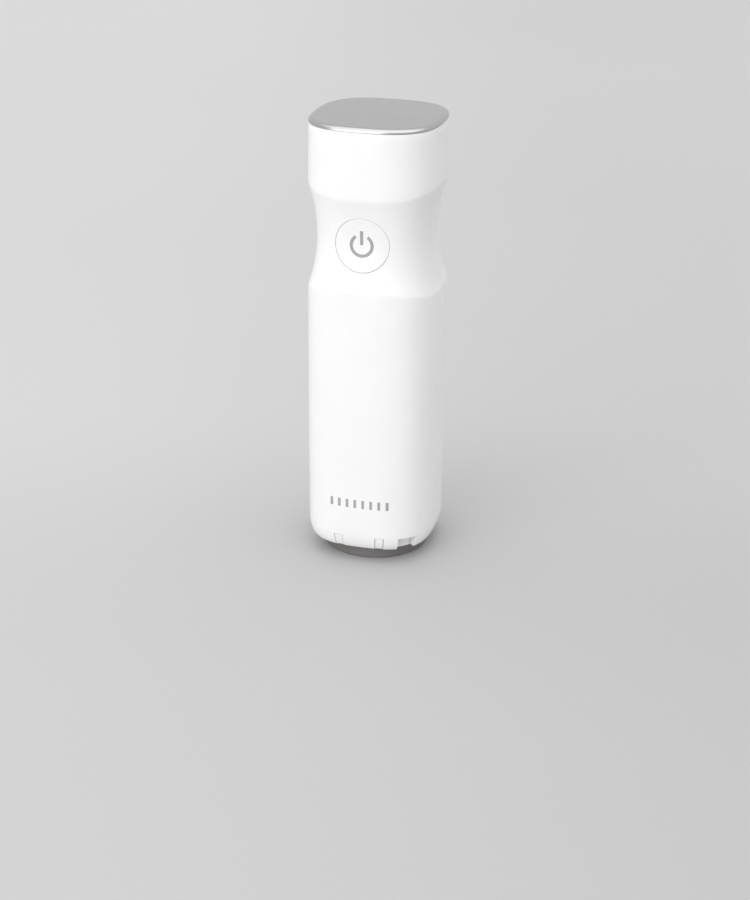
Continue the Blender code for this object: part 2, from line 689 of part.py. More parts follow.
def battery():
    """One round lithium cell with a nickel tab at each end that reaches the board."""
    top = CELL_Z + CELL_LENGTH
    cap = 0.5
    rod("battery_cell", CELL_RADIUS, CELL_Z, top, "cell_wrap", 24, at(0, CELL_Y))
    reach = BOARD_FRONT + 1.6 + GAP
    block("battery_tab_top", (-3, reach, top + GAP), (3, CELL_Y + 3, top + GAP + cap), "steel")
    block("battery_tab_bottom", (-3, reach, CELL_Z - GAP - cap), (3, CELL_Y + 3, CELL_Z - GAP), "steel")


def board_screw_places():
    return [(x, z) for z in (103.0, 158.0) for x in (RAIL_X, -RAIL_X)]


def control_board():
    """Circuit board on the front of the rails, with its four screws."""
    low, high = 98.0, 163.0
    board = block("control_board", (-17, BOARD_FRONT, low), (17, BOARD_FRONT + 1.6, high), "board_green")
    tools = [rod(f"board_hole_{i}", SMALL_HOLE, -6, 12, "steel", 10, facing_front(x, z))
             for i, (x, z) in enumerate(board_screw_places())]
    cut(board, *tools)
    for i, (x, z) in enumerate(board_screw_places(), 1):
        seat = at(x, BOARD_FRONT - GAP, z) @ Matrix.Rotation(math.pi / 2, 4, "X")
        screw(f"board_screw_{i}", 5.0, seat)


def tact_switch():
    """Push switch: a square body with a pocket, and the stem that the button pushes."""
    front = -BOARD_FRONT + GAP + SWITCH_HEIGHT
    pocket = front - 2.3
    base = block("switch_body", (-3, -front, BUTTON_Z - 3), (3, -front + SWITCH_HEIGHT, BUTTON_Z + 3),
                 "black_plastic")
    cut(base, rod("switch_pocket", 2.0, pocket, front + 5, "steel", 14, facing_front(z=BUTTON_Z)))
    stem_front = 9.4
    stem_back = pocket + 0.2 + BUTTON_TRAVEL
    rod("switch_stem", 1.7, stem_back, stem_front, "grey_plastic", 14, facing_front(z=BUTTON_Z))


def charging():
    """Small board on top of the rails with the charging socket, a light and its light pipe."""
    low = CHASSIS_TOP + GAP
    top = low + 1.2
    block("charge_board", (-13, -4, low), (13, BOARD_BACK, top), "board_green")
    half, skin = 1.6, 0.35
    back, front = BOARD_BACK - 4.2, side_y(0, PORT_Z) - 0.9
    shell = block("usb_socket", (-4.45, back, PORT_Z - half), (4.45, front, PORT_Z + half), "steel")
    mouth = block("socket_mouth", (-4.1, back + 1.4, PORT_Z - half + skin),
                  (4.1, front + 3, PORT_Z + half - skin), "steel")
    tongue = block("socket_tongue", (-3.3, back + 0.2, PORT_Z - skin),
                   (3.3, front - 0.7, PORT_Z + skin), "steel")
    join(cut(shell, mouth), tongue)
    block("status_led", (LIGHT_X - 0.9, BOARD_BACK - 3.3, top + GAP),
          (LIGHT_X + 0.9, BOARD_BACK - 0.8, PORT_Z + 0.6), "clear_plastic")
    rod("light_pipe", 0.75, BOARD_BACK - 0.5, side_y(LIGHT_X, PORT_Z) - 0.05, "clear_plastic", 12,
        facing_back(LIGHT_X, PORT_Z))


def bezier(points, share):
    """A point on the Bezier curve of the given control points."""
    points = [Vector(p) for p in points]
    while len(points) > 1:
        points = [a.lerp(b, share) for a, b in zip(points, points[1:])]
    return points[0]


def motor_leads():
    """Two wires from the motor's lid through the bracket to the board's lower end."""
    start = MOTOR_Z + MOTOR_LENGTH + GAP
    count = 16
    for name, side in (("lead_red", 1), ("lead_black", -1)):
        route = [(4.5 * side, -6.5, start), (4.5 * side, -6.5, start + 9), (5 * side, -11.5, start + 14),
                 (5.5 * side, -8.0, start + 17), (5.5 * side, BOARD_FRONT - GAP, start + 17)]
        curve = bpy.data.curves.new(f"motor_{name}", "CURVE")
        curve.dimensions = "3D"
        curve.bevel_depth = 0.7 * MM
        curve.bevel_resolution = 1
        curve.use_fill_caps = True
        spline = curve.splines.new("POLY")
        spline.points.add(count - 1)
        for i in range(count):
            spline.points[i].co = (*(bezier(route, i / (count - 1)) * MM), 1)
        made = bpy.data.objects.new(f"motor_{name}", curve)
        made.data.materials.append(material(name))
        bpy.context.scene.collection.objects.link(made)


def main():
    for old in list(bpy.data.objects):
        bpy.data.objects.remove(old)
    for build in (housing, top_cap, cap_carrier, button, button_guide,
                  seal, base_ring, base_plate, inlet_filter, suction_tube,
                  pump_head, head_gasket, valve_plate, umbrella_valve, diaphragm, cylinder_block,
                  pump_case, stack_screws, wobble_yoke, drive_pin, eccentric,
                  motor_can, magnets, armature, motor_shaft, motor_endcap, motor_screws,
                  motor_bracket, chassis, chassis_screws, battery, control_board, tact_switch,
                  charging, motor_leads):
        build()


main()
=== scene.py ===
"""Looks of the vacuum-sealing pump: fine surfaces, materials, floor, light and camera."""

import json
import math

import bmesh
import bpy
from mathutils import Matrix, Vector


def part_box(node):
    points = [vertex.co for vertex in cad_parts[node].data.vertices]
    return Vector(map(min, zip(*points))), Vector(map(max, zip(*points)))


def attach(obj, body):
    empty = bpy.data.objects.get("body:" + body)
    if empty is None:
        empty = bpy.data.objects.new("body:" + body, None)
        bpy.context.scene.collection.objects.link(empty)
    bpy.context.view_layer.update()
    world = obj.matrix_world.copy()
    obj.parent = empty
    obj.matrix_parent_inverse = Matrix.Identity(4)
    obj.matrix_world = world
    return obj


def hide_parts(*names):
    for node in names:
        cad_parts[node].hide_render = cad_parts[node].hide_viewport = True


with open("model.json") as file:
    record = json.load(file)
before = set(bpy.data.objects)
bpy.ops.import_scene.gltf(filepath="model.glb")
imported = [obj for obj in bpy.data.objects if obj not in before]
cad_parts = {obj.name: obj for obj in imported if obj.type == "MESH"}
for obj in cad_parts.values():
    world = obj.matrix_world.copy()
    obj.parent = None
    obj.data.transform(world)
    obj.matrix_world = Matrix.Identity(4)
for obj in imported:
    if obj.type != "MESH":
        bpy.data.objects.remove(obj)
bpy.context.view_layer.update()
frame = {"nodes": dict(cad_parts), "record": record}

MM = 0.001

# The body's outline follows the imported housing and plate
HOUSING_LOW, HOUSING_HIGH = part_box("housing")
PLATE_LOW, PLATE_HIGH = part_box("top_cap")
HEIGHT = PLATE_HIGH.z / MM
HALF_WIDTH = HOUSING_HIGH.x / MM
SLEEVE_TOP = HOUSING_HIGH.z / MM
FOOT_BOTTOM = HOUSING_LOW.z / MM
PLATE_BOTTOM = PLATE_LOW.z / MM
PLAN_POWER = 2.83            # of the superellipse that is the plan
WIDEST_Z = 70.0
BARREL_DROP = 0.5            # how much the half-width loses from WIDEST_Z to the top
WAIST_Z = 137.6
WAIST_HALF_WIDTH = 23.2      # X, at the waist's narrowest
WAIST_HALF_DEPTH = 24.3      # Y, at the waist's narrowest
WAIST_ARC = 67.9             # radius of the concave profile
WAIST_SOFTNESS = 0.2         # rounds the waist's two edges
WALL = 2.0
FOOT_TOP = 13.7              # the side starts to curve in below this height
FOOT_HALF_WIDTH = 24.8
FOOT_TURN = 0.97             # share of a quarter ellipse that the curve takes
GAP = 0.3                    # between the ring and the sleeve's inner face
EDGE = 0.25                  # radius of the softened edges of the sleeve and the ring

# Key, print and foot
BUTTON_LOW, BUTTON_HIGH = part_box("button")
BUTTON_Z = (BUTTON_LOW.z + BUTTON_HIGH.z) / 2 / MM
BUTTON_HOLE = 11.12
BUTTON_RADIUS = 10.98
PRINT_SUNK, PRINT_PROUD = 0.05, 0.02
CHARGE_MARKS_Z = 26.7
NOTCH_TOP = 11.7
WINDOW = (42.5, 17.0)        # centre from the front and width, degrees
TAB_NOTCHES = ((-19.0, 7.6), (18.2, 7.6))
TAB_RECESS = 0.12            # of the ring's tabs behind the foot's surface

# Fineness of the meshes
BODY_POINTS = 192
KEY_POINTS = 128
SEAL_POINTS = 160
RING_POINTS = 144
LIGHT_POINTS = 32
SHARP_ANGLE = math.radians(30)


# ---------------------------------------------------------------- outline of the body

def barrel(z):
    """Half-width of the barrel at height z, without the waist."""
    return HALF_WIDTH - BARREL_DROP * ((z - WIDEST_Z) / (HEIGHT - WIDEST_Z)) ** 2


def waist_flare(z):
    """How far the waist's surface has swept out at height z from its narrowest."""
    furthest = 0.99 * WAIST_ARC
    reach = min(abs(z - WAIST_Z), furthest)
    return WAIST_ARC - math.sqrt(WAIST_ARC ** 2 - reach ** 2)


def oval(across, along):
    """A superellipse of the given half-axes, as a radius over the angle."""
    def radius(angle):
        c, s = abs(math.cos(angle)) / across, abs(math.sin(angle)) / along
        return (c ** PLAN_POWER + s ** PLAN_POWER) ** (-1 / PLAN_POWER)
    return radius


def body(z, inset=0.0):
    """The body's plan at height z, moved in by inset: whichever of barrel and waist is inside."""
    side, flare = barrel(z) - inset, waist_flare(z) - inset
    outer, inner = oval(side, side), oval(WAIST_HALF_WIDTH + flare, WAIST_HALF_DEPTH + flare)

    def radius(angle):
        excess = outer(angle) - inner(angle)
        return outer(angle) - 0.5 * (excess + math.hypot(excess, WAIST_SOFTNESS))
    return radius


def side_y(x, z):
    """Distance from the X axis to the body's front or back surface, over x and z."""
    def reach(across, along):
        return along * (1 - (abs(x) / across) ** PLAN_POWER) ** (1 / PLAN_POWER)
    flare = waist_flare(z)
    return min(reach(barrel(z), barrel(z)),
               reach(WAIST_HALF_WIDTH + flare, WAIST_HALF_DEPTH + flare))


def foot(inset=0.0):
    """The plan of the body's lower edge."""
    return oval(FOOT_HALF_WIDTH - inset, FOOT_HALF_WIDTH - inset)


def rounding(z, inset=0.0):
    """The plan between the body and its lower edge, where the side curves in."""
    drop = FOOT_TURN * (FOOT_TOP - z) / (FOOT_TOP - FOOT_BOTTOM)
    share = (1 - math.sqrt(1 - drop ** 2)) / (1 - math.sqrt(1 - FOOT_TURN ** 2))
    above, below = body(FOOT_TOP, inset), foot(inset)
    return lambda angle: (1 - share) * above(angle) + share * below(angle)


# ---------------------------------------------------------------- making pieces

def circle(points):
    """Evenly spaced angles round a full turn."""
    return [math.tau * i / points for i in range(points)]


def value(number_or_function, angle):
    return number_or_function(angle) if callable(number_or_function) else number_or_function


def steps(low, high, size):
    """Evenly spaced values from low to high, about size apart."""
    count = max(1, round((high - low) / size))
    return [low + (high - low) * i / count for i in range(count + 1)]


def shade(mesh):
    """Smooth shading, with creases where faces meet at more than SHARP_ANGLE."""
    mesh.shade_smooth()
    mesh.set_sharp_from_angle(angle=SHARP_ANGLE)


def finished(bm, name):
    """Turn a bmesh in millimetres into a linked, smooth-shaded object in metres."""
    bmesh.ops.recalc_face_normals(bm, faces=bm.faces)
    bmesh.ops.scale(bm, vec=(MM, MM, MM), verts=bm.verts)
    mesh = bpy.data.meshes.new(name)
    bm.to_mesh(mesh)
    bm.free()
    shade(mesh)
    made = bpy.data.objects.new(name, mesh)
    bpy.context.scene.collection.objects.link(made)
    return made


def loft(name, rings, angles, closed=False, place=None):
    """Skin a run of rings, each (radius, height), where either may be a function of the angle."""
    bm = bmesh.new()
    loops = []
    for radius, height in rings:
        loops.append([bm.verts.new((value(radius, a) * math.cos(a), value(radius, a) * math.sin(a),
                                    value(height, a))) for a in angles])
    pairs = list(zip(loops, loops[1:]))
    if closed:
        pairs.append((loops[-1], loops[0]))
    else:
        bm.faces.new(loops[0])
        bm.faces.new(loops[-1])
    for low, high in pairs:
        for i in range(len(angles)):
            j = (i + 1) % len(angles)
            bm.faces.new((low[i], low[j], high[j], high[i]))
    if place is not None:
        bmesh.ops.transform(bm, matrix=place, verts=bm.verts)
    return finished(bm, name)


def rounded(profile, radius):
    """Round every corner of a closed (radius, height) profile with a small curve."""
    count, furthest = 3, 0.4
    result = []
    for i, corner in enumerate(profile):
        before, after = Vector(profile[i - 1]), Vector(profile[(i + 1) % len(profile)])
        here = Vector(corner)
        to_before, to_after = before - here, after - here
        reach = min(radius, furthest * to_before.length, furthest * to_after.length)
        start = here + to_before.normalized() * reach
        end = here + to_after.normalized() * reach
        for k in range(count + 1):
            t = k / count
            result.append(tuple((1 - t) ** 2 * start + 2 * t * (1 - t) * here + t * t * end))
    return result


def facing_front(z):
    """Turn a piece's own +Z to -Y and lift it to height z."""
    return Matrix.Translation((0, 0, z)) @ Matrix.Rotation(math.pi / 2, 4, "X")


def facing_back(x, z):
    """Turn a piece's own +Z to +Y and move it to (x, z)."""
    return Matrix.Translation((x, 0, z)) @ Matrix.Rotation(-math.pi / 2, 4, "X")


def prism(name, outline, low, high, place=None):
    """An outline in X and Y raised from low to high."""
    bm = bmesh.new()
    base = bm.faces.new([bm.verts.new((x, y, low)) for x, y in outline])
    raised = bmesh.ops.extrude_face_region(bm, geom=[base])["geom"]
    verts = [item for item in raised if isinstance(item, bmesh.types.BMVert)]
    bmesh.ops.translate(bm, vec=(0, 0, high - low), verts=verts)
    if place is not None:
        bmesh.ops.transform(bm, matrix=place, verts=bm.verts)
    return finished(bm, name)


def stadium(half_length, radius):
    """Outline of a slot along X with round ends."""
    count = 10
    outline = []
    for side, start in ((1, -90), (-1, 90)):
        for k in range(count + 1):
            a = math.radians(start + 180 * k / count)
            outline.append((side * (half_length - radius) + radius * math.cos(a),
                            radius * math.sin(a)))
    return outline


def cut(target, tools):
    """Cut the tools out of the target and drop them."""
    for tool in tools:
        modifier = target.modifiers.new(tool.name, "BOOLEAN")
        modifier.operation = "DIFFERENCE"
        modifier.object = tool
    graph = bpy.context.evaluated_depsgraph_get()
    mesh = bpy.data.meshes.new_from_object(target.evaluated_get(graph))
    target.modifiers.clear()
    target.data = mesh
    shade(mesh)
    for tool in tools:
        bpy.data.objects.remove(tool)


# ---------------------------------------------------------------- materials

def tree_of(name):
    """A new material, its node tree and its shader."""
    made = bpy.data.materials.new(name)
    made.use_nodes = True
    return made, made.node_tree, made.node_tree.nodes["Principled BSDF"]


def noise(tree, scale, detail=2.0, stretch=(1, 1, 1)):
    """Noise over the object's own metres; scale is in features per metre."""
    where = tree.nodes.new("ShaderNodeTexCoord")
    mapping = tree.nodes.new("ShaderNodeMapping")
    mapping.inputs["Scale"].default_value = stretch
    made = tree.nodes.new("ShaderNodeTexNoise")
    made.inputs["Scale"].default_value = scale
    made.inputs["Detail"].default_value = detail
    tree.links.new(where.outputs["Object"], mapping.inputs["Vector"])
    tree.links.new(mapping.outputs["Vector"], made.inputs["Vector"])
    return made.outputs["Fac"]


def ramp(tree, source, low, high):
    """Map a 0 to 1 value between two colours or two grey values."""
    node = tree.nodes.new("ShaderNodeValToRGB")
    for element, colour, position in zip(node.color_ramp.elements, (low, high), (0.35, 0.65)):
        grey = not hasattr(colour, "__len__")
        element.color = (colour, colour, colour, 1) if grey else (*colour, 1)
        element.position = position
    tree.links.new(source, node.inputs["Fac"])
    return node.outputs["Color"]


def dot(tree, vector, direction):
    """How far a vector reaches along a direction."""
    node = tree.nodes.new("ShaderNodeVectorMath")
    node.operation = "DOT_PRODUCT"
    node.inputs[1].default_value = direction
    tree.links.new(vector, node.inputs[0])
    return node.outputs["Value"]


def fade(tree, source, start, end, low, high):
    """Go smoothly from low to high as the source goes from start to end."""
    node = tree.nodes.new("ShaderNodeMapRange")
    node.interpolation_type = "SMOOTHSTEP"
    names = ("From Min", "From Max", "To Min", "To Max")
    for name, number in zip(names, (start, end, low, high)):
        node.inputs[name].default_value = number
    tree.links.new(source, node.inputs["Value"])
    return node.outputs["Result"]


def scaled(tree, vector, factor):
    """A vector or colour times a number."""
    node = tree.nodes.new("ShaderNodeVectorMath")
    node.operation = "SCALE"
    tree.links.new(vector, node.inputs[0])
    tree.links.new(factor, node.inputs["Scale"])
    return node.outputs["Vector"]


def bump(tree, shader, source, depth_mm):
    """Relief of the given depth where the source goes from 0 to 1."""
    node = tree.nodes.new("ShaderNodeBump")
    node.inputs["Distance"].default_value = depth_mm * MM
    node.inputs["Strength"].default_value = 1.0
    tree.links.new(source, node.inputs["Height"])
    tree.links.new(node.outputs["Normal"], shader.inputs["Normal"])


def plain(name, low, high, rough, metallic=0.0, grain=900.0, depth_mm=0.01,
          stretch=(1, 1, 1), blotch=60.0):
    """A surface whose colour drifts between two tones, with fine grain in roughness and relief."""
    made, tree, shader = tree_of(name)
    shader.inputs["Metallic"].default_value = metallic
    tree.links.new(ramp(tree, noise(tree, blotch, 3.0), low, high), shader.inputs["Base Color"])
    fine = noise(tree, grain, 3.0, stretch)
    tree.links.new(ramp(tree, fine, *rough), shader.inputs["Roughness"])
    bump(tree, shader, fine, depth_mm)
    return made


def make_materials():
    """One procedural material for each slot of the record, and one for print."""
    looks = {
        "white_gloss": ((0.855, 0.855, 0.86), (0.875, 0.873, 0.872), (0.2, 0.24),
                        {"grain": 700, "depth_mm": 0.0015}),
        "silver": ((0.51, 0.51, 0.515), (0.53, 0.53, 0.53), (0.22, 0.27),
                   {"metallic": 1.0, "grain": 3500, "depth_mm": 0.002}),
        "seal_rubber": ((0.160, 0.152, 0.148), (0.190, 0.181, 0.177), (0.42, 0.55),
                        {"grain": 1800}),
        "grey_plastic": ((0.38, 0.385, 0.40), (0.43, 0.435, 0.45), (0.4, 0.5), {}),
        "black_plastic": ((0.022, 0.022, 0.025), (0.032, 0.032, 0.035), (0.45, 0.6), {}),
        "clear_plastic": ((0.86, 0.88, 0.9), (0.92, 0.94, 0.95), (0.08, 0.12),
                          {"depth_mm": 0.002}),
        "soft_silicone": ((0.68, 0.68, 0.66), (0.74, 0.74, 0.72), (0.45, 0.6), {}),
        "filter_mesh": ((0.16, 0.16, 0.17), (0.30, 0.30, 0.31), (0.6, 0.8),
                        {"grain": 2500, "depth_mm": 0.12}),
        "steel": ((0.55, 0.55, 0.56), (0.64, 0.64, 0.64), (0.22, 0.34),
                  {"metallic": 1.0, "stretch": (1, 1, 12)}),
        "copper": ((0.62, 0.28, 0.13), (0.78, 0.40, 0.20), (0.25, 0.4),
                   {"metallic": 1.0, "grain": 400, "depth_mm": 0.1, "stretch": (1, 1, 14)}),
        "magnet": ((0.05, 0.05, 0.055), (0.08, 0.08, 0.085), (0.5, 0.7), {"metallic": 0.2}),
        "board_green": ((0.012, 0.12, 0.05), (0.02, 0.17, 0.075), (0.3, 0.42), {"blotch": 250}),
        "cell_wrap": ((0.03, 0.17, 0.46), (0.045, 0.21, 0.54), (0.22, 0.34), {}),
        "lead_red": ((0.5, 0.02, 0.02), (0.6, 0.035, 0.03), (0.35, 0.5), {}),
        "lead_black": ((0.015, 0.015, 0.015), (0.025, 0.025, 0.025), (0.35, 0.5), {}),
        "print": ((0.34, 0.335, 0.335), (0.38, 0.375, 0.375), (0.35, 0.45), {"grain": 2500}),
    }
    return {name: plain(name, low, high, rough, **rest)
            for name, (low, high, rough, rest) in looks.items()}


PIECES = []                  # that the low fill light reaches


def dress(obj, body_name, look, slot, *replaced):
    """Give a new piece its material, body and the CAD nodes that it stands for. The slot argument
    is not used.
    """
    PIECES.append(obj)
    obj.data.materials.clear()
    obj.data.materials.append(MATERIALS[look])
    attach(obj, body_name)
    if replaced:
        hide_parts(*replaced)


# ---------------------------------------------------------------- the pieces that show

def around(angles):
    """Each (centre, width) of a notch as seen from the front, and again half a turn round."""
    return [(math.radians(centre + turn - 90), math.radians(width))
            for turn in (0, 180) for centre, width in angles]


def notch_cutters():
    """Wedges that open the foot's four narrow notches and two windows."""
    inner, outer, low = 15.0, 32.0, FOOT_BOTTOM - 5
    for i, (centre, width) in enumerate(around(TAB_NOTCHES + (WINDOW,))):
        spread = math.tan(width / 2)
        outline = [(inner, -inner * spread), (outer, -outer * spread), (outer, outer * spread),
                   (inner, inner * spread)]
        yield prism(f"notch_{i}", outline, low, NOTCH_TOP, Matrix.Rotation(centre, 4, "Z"))


def port_place():
    """X and Z of the charging socket's middle."""
    low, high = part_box("usb_socket")
    return (low.x + high.x) / 2 / MM, (low.z + high.z) / 2 / MM


def light_place():
    """X and Z of the charge light's middle."""
    low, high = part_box("light_pipe")
    return (low.x + high.x) / 2 / MM, (low.z + high.z) / 2 / MM


def sleeve_outside():
    """Rings of the sleeve's outer face, from the lower edge to the upper one."""
    rings = []
    for a in (0.0, 0.5, 1.0):
        z = FOOT_BOTTOM + EDGE * (1 - math.cos(a))
        rings.append((rounding(z, EDGE * (1 - math.sin(a))), z))
    for degrees in range(16, 91, 6):
        z = FOOT_BOTTOM + (FOOT_TOP - FOOT_BOTTOM) * (1 - math.cos(math.radians(degrees)))
        if z > FOOT_BOTTOM + EDGE:
            rings.append((rounding(z), z))
    # Closest together at the waist's two edges
    for start, end, spacing in ((FOOT_TOP, 110, 3.0), (110, 124, 0.5), (124, 150, 1.3),
                                (150, 164, 0.5), (164, SLEEVE_TOP - EDGE, 3.0)):
        rings += [(body(z), z) for z in steps(start, end, spacing)[1:]]
    for a in (0.5, 1.0, math.pi / 2):
        rings.append((body(SLEEVE_TOP, EDGE * (1 - math.cos(a))),
                      SLEEVE_TOP - EDGE * (1 - math.sin(a))))
    return rings


def sleeve_inside():
    """Rings of the sleeve's inner face, from the top down."""
    heights = [SLEEVE_TOP, 174, 164] + steps(108, 160, 4.0)[::-1] + [95, 70, 42, 16]
    rings = [(body(z, WALL), z) for z in heights]
    return rings + [(foot(WALL), FOOT_TOP), (foot(WALL), FOOT_BOTTOM)]


def housing():
    """White sleeve, cut for the key, the socket, its light and the foot's notches."""
    inside_wall, past_wall, socket_start = 12, 30, 15
    light_radius = 1.05
    sleeve = loft("housing_shell", sleeve_outside() + sleeve_inside(), circle(BODY_POINTS),
                  closed=True)
    hole = loft("button_hole", [(BUTTON_HOLE, inside_wall), (BUTTON_HOLE, past_wall)],
                circle(KEY_POINTS), place=facing_front(BUTTON_Z))
    port = prism("port_hole", stadium(4.8, 1.9), socket_start, past_wall,
                 facing_back(*port_place()))
    light = loft("light_hole", [(light_radius, socket_start), (light_radius, past_wall)],
                 circle(LIGHT_POINTS), place=facing_back(*light_place()))
    cut(sleeve, [hole, port, light, *notch_cutters()])
    dress(sleeve, "pump_unit", "white_gloss", "white_gloss", "housing")


def top_plate():
    """Silver plate with a rounded upper edge and a fine lower lip."""
    edge, reach, lip, drop = 1.4, 2.4, 0.06, 0.2
    low, turns = PLATE_BOTTOM - drop, 12
    rings = [(body(low, lip), low), (body(low), low + lip), (body(PLATE_BOTTOM), PLATE_BOTTOM)]
    for k in range(turns + 1):
        a = math.radians(90) * k / turns
        rings.append((body(HEIGHT, reach * (1 - math.cos(a))), HEIGHT - edge * (1 - math.sin(a))))
    rings += [(body(HEIGHT, inset), HEIGHT) for inset in (4.0, 8.0, 14.0, 19.0)]
    plate = loft("top_plate", rings, circle(BODY_POINTS))
    dress(plate, "pump_unit", "silver", "silver", "top_cap")


def key_face(radius, lift=0.0):
    """Distance of the key's face from the X-Z plane round a circle on it, plus lift."""
    def height(angle):
        return side_y(radius * math.cos(angle), BUTTON_Z + radius * math.sin(angle)) + lift
    return height


def button_key():
    """Key with a softened rim whose face carries on the waist, over a flange and a stem."""
    edge, skin, hollow = 0.2, 20.5, 9.3
    flange, flange_front, flange_back = 12.6, 15.0, 14.0
    stem, stem_end = 2.5, 9.7
    rings = [(radius, key_face(radius)) for radius in (0.6, 2, 3.5, 5, 6.5, 8, 9.2, 10.1)]
    for a in (1.57, 1.1, 0.7, 0.35, 0.0):
        rings.append((BUTTON_RADIUS - edge * (1 - math.cos(a)),
                      key_face(BUTTON_RADIUS, -edge * (1 - math.sin(a)))))
    rings += [(BUTTON_RADIUS, flange_front), (flange, flange_front), (flange, flange_back),
              (hollow, flange_back), (hollow, skin), (stem, skin), (stem, stem_end)]
    key = loft("button_key", rings, circle(KEY_POINTS), place=facing_front(BUTTON_Z))
    dress(key, "button", "white_gloss", "white_gloss", "button")


def inlay(name, strips, height):
    """Thin print that follows the body's front.

    strips holds runs of rows of points (x, z), z from the given height, that the print spans.
    """
    bm = bmesh.new()
    for strip in strips:
        back, front = [[[bm.verts.new((x, -(side_y(x, height + z) + lift), height + z))
                         for x, z in row] for row in strip]
                       for lift in (-PRINT_SUNK, PRINT_PROUD)]
        last_row, last = len(strip) - 1, len(strip[0]) - 1
        for i in range(last_row):
            for j in range(last):
                bm.faces.new((front[i][j], front[i + 1][j], front[i + 1][j + 1], front[i][j + 1]))
                bm.faces.new((back[i][j], back[i][j + 1], back[i + 1][j + 1], back[i + 1][j]))
        rim = [(i, 0) for i in range(last_row)] + [(last_row, j) for j in range(last)]
        rim += [(i, last) for i in range(last_row, 0, -1)] + [(0, j) for j in range(last, 0, -1)]
        for (i, j), (k, m) in zip(rim, rim[1:] + rim[:1]):
            bm.faces.new((front[i][j], front[k][m], back[k][m], back[i][j]))
    return finished(bm, name)


def power_symbol():
    """Plain power sign: an open ring and a bar."""
    inner, outer, opening, turns = 3.6, 4.9, math.radians(34), 48
    bar_half, bar_low, bar_high, spacing = 0.65, 0.2, 6.0, 0.6
    start, turn = math.pi / 2 + opening, math.tau - 2 * opening
    arc = []
    for k in range(turns + 1):
        a = start + turn * k / turns
        radii = (inner, (inner + outer) / 2, outer)
        arc.append([(r * math.cos(a), r * math.sin(a)) for r in radii])
    stroke = [[(x, z) for x in (-bar_half, 0.0, bar_half)]
              for z in steps(bar_low, bar_high, spacing)]
    sign = inlay("power_symbol", [arc, stroke], BUTTON_Z)
    dress(sign, "button", "print", "grey_plastic")


def charge_marks():
    """Row of plain bars above the foot."""
    count, pitch, half, height, spacing = 8, 3.4, 0.6, 3.7, 0.6
    strips = []
    for k in range(count):
        middle = (k - (count - 1) / 2) * pitch
        xs = [middle - half, middle - half / 3, middle + half / 3, middle + half]
        strips.append([[(x, z) for x in xs] for z in steps(-height / 2, height / 2, spacing)])
    dress(inlay("charge_marks", strips, CHARGE_MARKS_Z), "pump_unit", "print", "grey_plastic")


def foot_ring():
    """Ring inside the foot with a tab in each narrow notch."""
    low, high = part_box("base_ring")
    bottom, top = low.z / MM, high.z / MM
    bore, hub, tab_low, tab_high = 17.5, 19.2, bottom + 0.35, NOTCH_TOP - 0.12
    step, spacing, tab_points = 0.01, 0.6, 6
    side, flank, apart = math.radians(0.3), math.radians(0.2), 0.02
    spans = [(centre - width / 2 + side, centre + width / 2 - side)
             for centre, width in around(TAB_NOTCHES)]

    def in_tab(angle):
        return any(0.5 * flank < (angle - a) % math.tau < b - a - 0.5 * flank for a, b in spans)

    def outline(z, inset=0.0):
        outer, inner = rounding(z, TAB_RECESS + inset), foot(WALL + GAP)
        return lambda angle: outer(angle) if in_tab(angle) else inner(angle)
    angles = [a for a in circle(RING_POINTS)
              if all((a - p + apart) % math.tau > q - p + 2 * apart for p, q in spans)]
    for p, q in spans:
        angles += [p % math.tau, q % math.tau]
        angles += [(p + flank + (q - p - 2 * flank) * k / tab_points) % math.tau
                   for k in range(tab_points + 1)]
    rings = [(foot(WALL + GAP), bottom), (foot(WALL + GAP), tab_low),
             (outline(tab_low, EDGE), tab_low + step)]
    rings += [(outline(z), z) for z in steps(tab_low + EDGE, tab_high - EDGE, spacing)]
    rings += [(outline(tab_high, EDGE), tab_high), (hub, tab_high + step), (bore, top),
              (bore, bottom)]
    ring = loft("foot_ring_fine", rings, sorted(angles), closed=True)
    dress(ring, "foot_ring", "white_gloss", "white_gloss", "base_ring")


def suction_seal():
    """Rubber seal with softened edges and a fine parting line round its wall."""
    low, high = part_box("seal")
    outer, top = high.x / MM, high.z / MM
    shoulder, bore, neck, lip, lip_top, edge = 5.4, 15.0, 17.2, 17.5, 3.0, 0.35
    profile = [(lip, 0), (outer - 0.25, 0), (outer, 0.5),
               (outer - 0.05, 1.9), (outer - 0.15, 2.0), (outer - 0.05, 2.1),
               (outer - 0.2, shoulder - 0.5), (outer - 0.7, shoulder), (neck, shoulder),
               (neck, top), (bore, top), (bore, lip_top)]
    ring = loft("suction_seal", rounded(profile, edge), circle(SEAL_POINTS), closed=True)
    dress(ring, "seal", "seal_rubber", "seal_rubber", "seal")


def charging_socket():
    """Rounded metal shell of the socket with its contact tongue."""
    low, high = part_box("usb_socket")
    start, end = low.y / MM, high.y / MM
    place = facing_back(*port_place())
    shell = prism("socket_shell", stadium(4.45, 1.6), start, end, place)
    mouth = prism("socket_mouth", stadium(4.15, 1.3), start + 1.2, end + 5, place)
    cut(shell, [mouth])
    tongue = prism("socket_tongue", stadium(3.3, 0.35), start + 1.0, end - 0.8, place)
    dress(shell, "pump_unit", "steel", "steel", "usb_socket")
    dress(tongue, "pump_unit", "black_plastic", "black_plastic")


def light_window():
    """Clear window of the charge light, slightly domed."""
    low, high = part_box("light_pipe")
    radius, start, end = 0.75, low.y / MM, high.y / MM
    rings = [(radius, start), (radius, end - 0.2), (radius - 0.06, end - 0.1),
             (radius - 0.25, end - 0.03), (0.2, end)]
    window = loft("light_window", rings, circle(LIGHT_POINTS), place=facing_back(*light_place()))
    dress(window, "pump_unit", "clear_plastic", "clear_plastic", "light_pipe")


